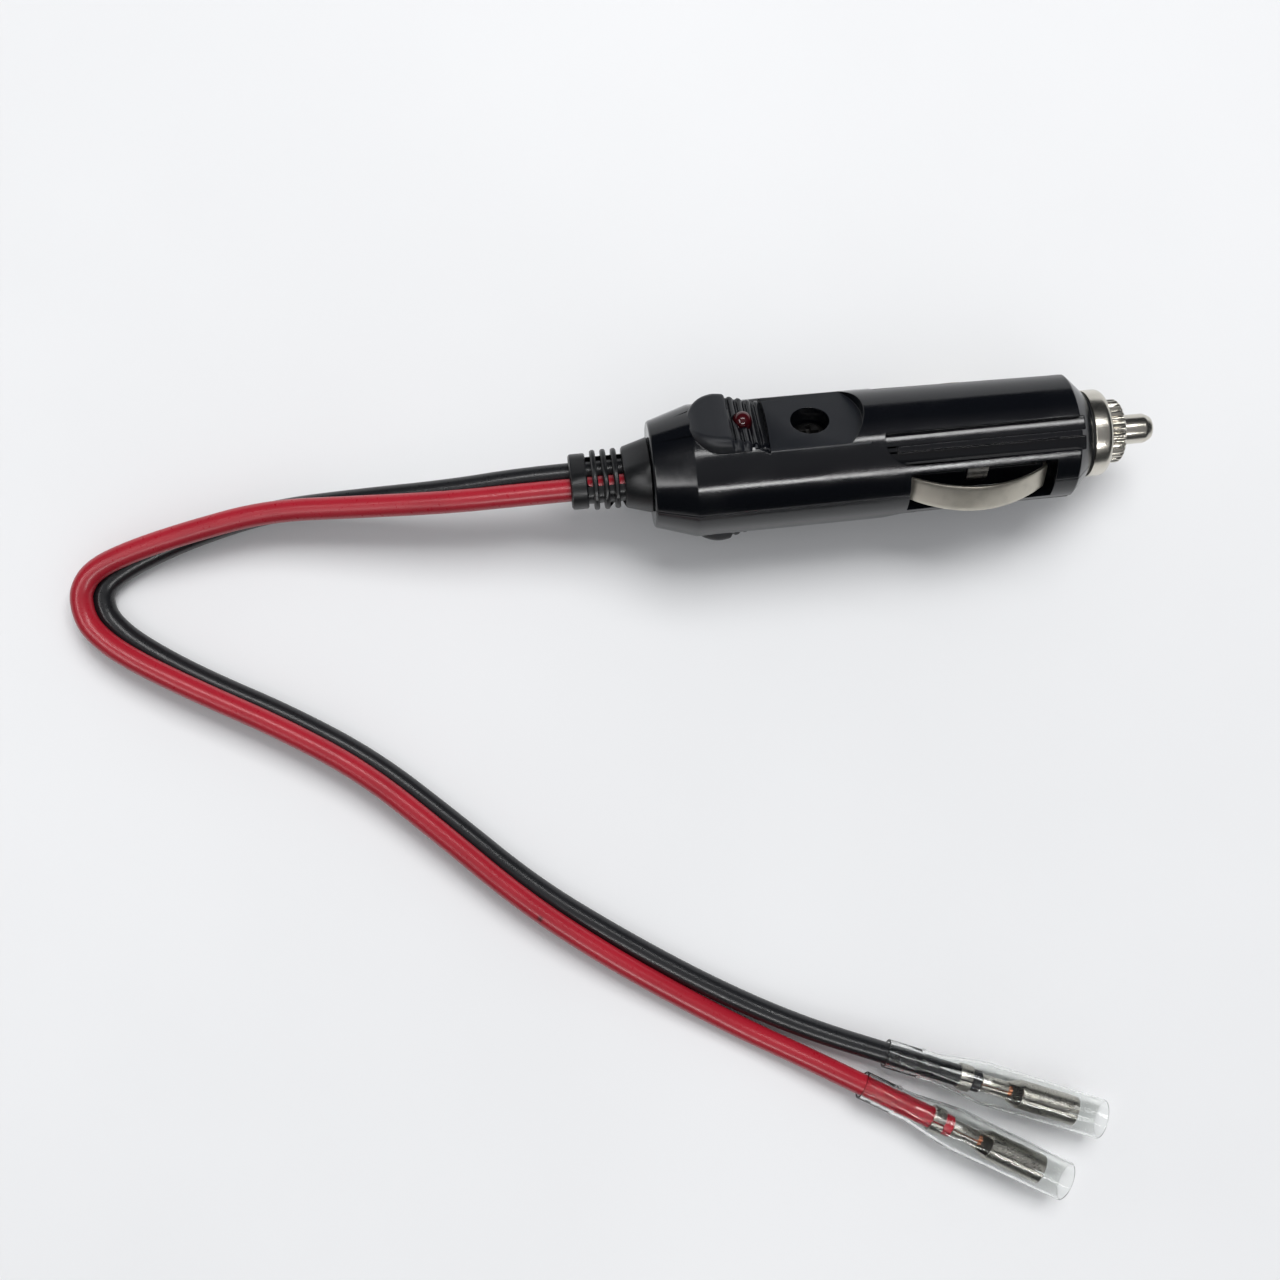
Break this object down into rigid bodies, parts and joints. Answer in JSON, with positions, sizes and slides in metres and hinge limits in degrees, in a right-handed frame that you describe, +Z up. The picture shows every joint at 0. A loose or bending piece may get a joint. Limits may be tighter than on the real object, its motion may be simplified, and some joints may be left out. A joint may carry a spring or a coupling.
{
  "type": "cigarette lighter plug",
  "caption": "Black 12 V lighter-socket plug with a fuse, sprung side contacts, a lamp and red and black leads ending in clear-sleeved bullet receptacles.",
  "frame": {"origin": "under the middle of the plug, on the surface it lies on; the leads aren't counted", "axes": "+X along the plug's axis towards the contact tip, +Z up"},
  "size_m": [0.1804, 0.142, 0.024],
  "materials": {
    "shell": "glossy moulded, satin on the grip and the flat panel",
    "nickel": "bright nickel plate, lightly scratched",
    "spring_steel": "bright rolled strip",
    "screw_steel": "dark oxide",
    "lamp_red": "clear red lens",
    "resistor_body": "coated",
    "tinned_wire": "tinned",
    "relief_rubber": "satin",
    "washer_rubber": "matt",
    "red_insulation": "smooth, slightly shiny",
    "black_insulation": "smooth, slightly shiny",
    "copper": "bare strands",
    "tinned_brass": "tin-plated, rolled",
    "brass": "stamped",
    "clear_sleeve": "clear, slightly cloudy soft plastic",
    "fuse_glass": "clear"
  },
  "bodies": {
    "housing": {"upper_housing": "shell", "lower_housing": "shell", "housing_screw": "screw_steel", "indicator_led": "lamp_red", "led_leads": "tinned_wire", "led_resistor": "resistor_body", "contact_spring": "spring_steel", "spring_cup": "brass", "ground_strap": "tinned_brass", "strain_relief": "relief_rubber", "red_lead": "red_insulation", "black_lead": "black_insulation", "red_wire": "red_insulation", "black_wire": "black_insulation", "red_sleeve": "clear_sleeve", "black_sleeve": "clear_sleeve", "red_receptacle": "tinned_brass", "black_receptacle": "tinned_brass", "red_strands": "copper", "black_strands": "copper"},
    "cap_carrier": {"cap_washer": "washer_rubber"},
    "cap": {"nose_cap": "nickel"},
    "plunger": {"contact_tip": "nickel", "fuse_cap_front": "nickel", "fuse_glass": "fuse_glass", "fuse_wire": "tinned_wire", "fuse_cap_rear": "nickel"},
    "left_contact": {"side_contact_left": "spring_steel"},
    "right_contact": {"side_contact_right": "spring_steel"}
  },
  "joints": [
    {"name": "tip_push", "type": "slide", "parent": "housing", "child": "plunger", "axis": [-1, 0, 0], "range_m": [0, 0.0025], "stiffness_N_per_m": 1000, "springref_m": -0.0005, "deforming": ["contact_spring"]},
    {"name": "left_contact_press", "type": "slide", "parent": "housing", "child": "left_contact", "axis": [0, 0.7373, -0.6756], "range_m": [0, 0.0019], "stiffness_N_per_m": 1500, "springref_m": -0.0002},
    {"name": "right_contact_press", "type": "slide", "parent": "housing", "child": "right_contact", "axis": [0, -0.7373, 0.6756], "range_m": [0, 0.0019], "stiffness_N_per_m": 1500, "springref_m": -0.0002},
    {"name": "cap_advance", "type": "slide", "parent": "housing", "child": "cap_carrier", "axis": [1, 0, 0], "range_m": [0, 0.006]},
    {"name": "cap_turn", "type": "hinge", "parent": "cap_carrier", "child": "cap", "pos_m": [0.03875, 0, 0.01198], "axis": [1, 0, 0], "range_deg": [0, 2160]}
  ],
  "couplings": [
    {"joint": "cap_turn", "follows": "cap_advance", "rad_per_m": 6283.2}
  ]
}
